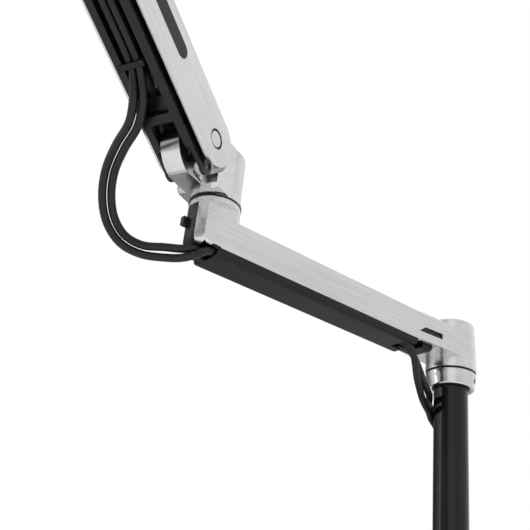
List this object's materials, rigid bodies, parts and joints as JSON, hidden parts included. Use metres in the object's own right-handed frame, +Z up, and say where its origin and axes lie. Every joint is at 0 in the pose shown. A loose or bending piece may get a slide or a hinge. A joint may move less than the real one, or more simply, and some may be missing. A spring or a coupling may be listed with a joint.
{
  "type": "monitor arm",
  "caption": "Desk-clamp monitor arm with a pole, a swivelling extension, a sprung lifting arm with two side cable loops, and a pan, tilt and rotation plate.",
  "frame": {"origin": "pole axis at the desk's top surface", "axes": "+Z up along the pole, -Y along the lift arm towards the display plate, +X to the arm's left as seen from the display"},
  "size_m": [0.2739, 0.8516, 0.7777],
  "materials": {
    "cast_alloy": "satin fine-sprayed casting",
    "polished_alloy": "polished",
    "steel": "bright machined",
    "black_metal": "satin black powder coat",
    "black_plastic": "fine matt",
    "white_plastic": "natural acetal",
    "pad_rubber": "matt",
    "spring_steel": "oiled black",
    "brass": "machined",
    "cable_jacket": "smooth pvc"
  },
  "bodies": {
    "base": {"base_plate": "black_metal", "desk_pad": "pad_rubber", "clamp_bracket": "black_metal", "bracket_screws": "steel", "pole_flange": "black_metal", "flange_screws": "steel", "pole": "black_metal", "pole_cap": "black_plastic", "pole_clips": "black_plastic", "tail_a": "cable_jacket", "tail_b": "cable_jacket", "desk_plugs": "black_plastic", "pole_cables": "cable_jacket"},
    "foot": {"clamp_foot": "pad_rubber"},
    "clamp_handle": {"clamp_screw": "steel", "clamp_knob": "black_plastic"},
    "collar": {"height_collar": "cast_alloy", "collar_sleeve": "black_plastic", "collar_screws": "steel", "swivel_bush": "black_plastic"},
    "extension": {"extension_beam": "cast_alloy", "socket_liner": "black_plastic", "slot_inserts": "black_plastic", "cable_cover": "black_plastic", "elbow_bush": "black_plastic", "elbow_sleeve": "white_plastic", "extension_cables": "cable_jacket", "hang_a": "cable_jacket", "hang_b": "cable_jacket"},
    "turret": {"turret": "cast_alloy", "elbow_spindle": "steel", "spindle_nut": "steel", "turret_pins": "steel", "loop_a_lower": "cable_jacket", "loop_b_lower": "cable_jacket"},
    "spring_yoke": {"spring_yoke": "steel"},
    "upper_link": {"upper_link": "polished_alloy", "pivot_caps": "polished_alloy", "side_plaques": "black_plastic", "tension_spring": "spring_steel"},
    "spring_nut": {"tension_nut": "brass"},
    "adjuster": {"tension_screw": "steel"},
    "lower_link": {"lower_link": "black_metal", "cable_clips": "black_plastic", "arm_cables": "cable_jacket", "cable_plugs": "black_plastic", "loop_a_upper": "cable_jacket", "loop_b_upper": "cable_jacket"},
    "head_block": {"head_block": "cast_alloy", "head_pins": "steel", "pan_bush": "black_plastic"},
    "pan_yoke": {"pan_yoke": "cast_alloy"},
    "tilt_block": {"tilt_block": "cast_alloy", "tilt_bolt": "steel"},
    "display_plate": {"display_plate": "black_metal", "rotation_bolt": "steel"}
  },
  "joints": [
    {"name": "clamp_travel", "type": "slide", "parent": "base", "child": "foot", "axis": [0, 0, 1], "range_m": [-0.024, 0.015]},
    {"name": "clamp_turn", "type": "hinge", "parent": "foot", "child": "clamp_handle", "pos_m": [0, -0.008, -0.08], "axis": [0, 0, 1], "range_deg": [-2400, 1500]},
    {"name": "height_slide", "type": "slide", "parent": "base", "child": "collar", "axis": [0, 0, 1], "range_m": [-0.09, 0.025], "deforming": ["pole_cables", "hang_a", "hang_b"]},
    {"name": "pole_swivel", "type": "hinge", "parent": "collar", "child": "extension", "pos_m": [0, 0, 0.341], "axis": [0, 0, 1], "range_deg": [-90, 90], "deforming": ["hang_a", "hang_b"]},
    {"name": "elbow_pan", "type": "hinge", "parent": "extension", "child": "turret", "pos_m": [-0.12934, -0.29051, 0.399], "axis": [0, 0, 1], "range_deg": [-100, 60], "deforming": ["loop_a_lower", "loop_b_lower", "loop_a_upper", "loop_b_upper"]},
    {"name": "lift", "type": "hinge", "parent": "turret", "child": "upper_link", "pos_m": [-0.12934, -0.33851, 0.435], "axis": [-1, 0, 0], "range_deg": [-68, 12], "deforming": ["tension_spring", "loop_a_upper", "loop_b_upper"]},
    {"name": "lower_link_pivot", "type": "hinge", "parent": "turret", "child": "lower_link", "pos_m": [-0.12934, -0.33851, 0.411], "axis": [-1, 0, 0], "range_deg": [-68, 12], "deforming": ["loop_a_upper", "loop_b_upper"]},
    {"name": "yoke_swing", "type": "hinge", "parent": "turret", "child": "spring_yoke", "pos_m": [-0.12934, -0.35851, 0.427], "axis": [-1, 0, 0], "range_deg": [-90, 16]},
    {"name": "tension_travel", "type": "slide", "parent": "upper_link", "child": "spring_nut", "axis": [0, -0.8829, 0.4695], "range_m": [-0.03, 0.03], "deforming": ["tension_spring"]},
    {"name": "tension_turn", "type": "hinge", "parent": "upper_link", "child": "adjuster", "pos_m": [-0.12934, -0.60339, 0.57584], "axis": [0, -0.8829, 0.4695], "range_deg": [-9000, 9000]},
    {"name": "head_level", "type": "hinge", "parent": "upper_link", "child": "head_block", "pos_m": [-0.12934, -0.68727, 0.62044], "axis": [-1, 0, 0], "range_deg": [-12, 68]},
    {"name": "head_pan", "type": "hinge", "parent": "head_block", "child": "pan_yoke", "pos_m": [-0.12934, -0.72727, 0.60044], "axis": [0, 0, 1], "range_deg": [-90, 90]},
    {"name": "tilt", "type": "hinge", "parent": "pan_yoke", "child": "tilt_block", "pos_m": [-0.12934, -0.76727, 0.58844], "axis": [-1, 0, 0], "range_deg": [-20, 45]},
    {"name": "plate_rotation", "type": "hinge", "parent": "tilt_block", "child": "display_plate", "pos_m": [-0.12934, -0.79727, 0.58844], "axis": [0, -1, 0], "range_deg": [-90, 90]}
  ],
  "couplings": [
    {"joint": "clamp_turn", "follows": "clamp_travel", "rad_per_m": 1570.8},
    {"joint": "lower_link_pivot", "follows": "lift", "ratio": 1},
    {"joint": "yoke_swing", "follows": "lift", "ratio": 1.28},
    {"joint": "head_level", "follows": "lift", "ratio": -1},
    {"joint": "tension_turn", "follows": "tension_travel", "rad_per_m": -5026.5}
  ]
}
